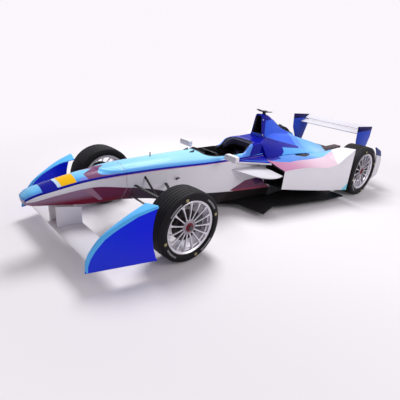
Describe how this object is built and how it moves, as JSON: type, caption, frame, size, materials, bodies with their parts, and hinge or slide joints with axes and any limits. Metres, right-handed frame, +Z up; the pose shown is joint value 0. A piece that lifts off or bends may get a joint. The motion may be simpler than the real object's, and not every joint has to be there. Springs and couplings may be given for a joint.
{
  "type": "open wheel racing car",
  "caption": "Single-seat open wheel electric racing car with a high nose, swept endplates, open cockpit, airbox, flared sidepods and guards behind the rear wheels.",
  "frame": {"origin": "on the ground, half way along the car's length, on its centre plane", "axes": "nose to -Y, the car's left side to +X, +Z up"},
  "size_m": [1.758, 5, 1.086],
  "materials": {
    "blue_paint": "gloss",
    "deep_blue_paint": "gloss",
    "white_paint": "gloss",
    "carbon": "satin",
    "link_black": "satin",
    "casing": "satin",
    "lamp": "gloss",
    "bare_metal": "satin",
    "steel": "satin",
    "rim": "satin",
    "disc": "machined",
    "tyre": "matt"
  },
  "bodies": {
    "chassis": {"nose_cone": "blue_paint", "monocoque": "white_paint", "cockpit_surround": "blue_paint", "seat": "carbon", "steering_column": "bare_metal", "battery_block": "casing", "motor_and_gearbox": "casing", "rear_crash_structure": "carbon", "rear_light": "lamp", "engine_cover": "deep_blue_paint", "sidepods": "white_paint", "sidepod_winglets": "white_paint", "floor": "carbon", "front_wing": "white_paint", "nose_pylons": "white_paint", "front_wing_endplates": "deep_blue_paint", "rear_wing_planes": "white_paint", "rear_wing_endplates": "deep_blue_paint", "rear_beam": "carbon", "rear_wheel_guards": "white_paint", "front_suspension_links": "link_black", "rear_suspension_links": "link_black", "mirrors": "white_paint", "roll_hoop_camera": "carbon", "pitot_tube": "link_black", "knuckle_rear_left": "bare_metal", "knuckle_rear_right": "bare_metal"},
    "knuckle_left": {"knuckle_front_left": "bare_metal"},
    "front_wheel_left": {"tyre_front_left": "tyre", "rim_front_left": "rim", "brake_disc_front_left": "disc"},
    "rear_wheel_left": {"tyre_rear_left": "tyre", "rim_rear_left": "rim", "brake_disc_rear_left": "disc", "drive_shaft_rear_left": "steel"},
    "knuckle_right": {"knuckle_front_right": "bare_metal"},
    "front_wheel_right": {"tyre_front_right": "tyre", "rim_front_right": "rim", "brake_disc_front_right": "disc"},
    "rear_wheel_right": {"tyre_rear_right": "tyre", "rim_rear_right": "rim", "brake_disc_rear_right": "disc", "drive_shaft_rear_right": "steel"},
    "steering_wheel": {"steering_wheel": "carbon"},
    "rack": {"steering_rack": "bare_metal"}
  },
  "joints": [
    {"name": "steer_left", "type": "hinge", "parent": "chassis", "child": "knuckle_left", "pos_m": [0.7, -1.43, 0.325], "axis": [0, 0, 1], "range_deg": [-15, 15]},
    {"name": "steer_right", "type": "hinge", "parent": "chassis", "child": "knuckle_right", "pos_m": [-0.7, -1.43, 0.325], "axis": [0, 0, 1], "range_deg": [-15, 15]},
    {"name": "front_wheel_left_spin", "type": "hinge", "parent": "knuckle_left", "child": "front_wheel_left", "pos_m": [0.7345, -1.43, 0.325], "axis": [1, 0, 0], "continuous": true},
    {"name": "front_wheel_right_spin", "type": "hinge", "parent": "knuckle_right", "child": "front_wheel_right", "pos_m": [-0.7345, -1.43, 0.325], "axis": [1, 0, 0], "continuous": true},
    {"name": "rear_wheel_left_spin", "type": "hinge", "parent": "chassis", "child": "rear_wheel_left", "pos_m": [0.7205, 1.67, 0.34], "axis": [1, 0, 0], "continuous": true},
    {"name": "rear_wheel_right_spin", "type": "hinge", "parent": "chassis", "child": "rear_wheel_right", "pos_m": [-0.7205, 1.67, 0.34], "axis": [1, 0, 0], "continuous": true},
    {"name": "steering_wheel_turn", "type": "hinge", "parent": "chassis", "child": "steering_wheel", "pos_m": [0, -0.47, 0.598], "axis": [0, 0.9397, 0.342], "range_deg": [-166, 166]},
    {"name": "rack_slide", "type": "slide", "parent": "chassis", "child": "rack", "axis": [1, 0, 0], "range_m": [-0.029, 0.029]}
  ],
  "couplings": [
    {"joint": "steer_right", "follows": "steer_left", "ratio": 1},
    {"joint": "steering_wheel_turn", "follows": "steer_left", "ratio": 11},
    {"joint": "rack_slide", "follows": "steer_left", "m_per_rad": 0.11}
  ]
}
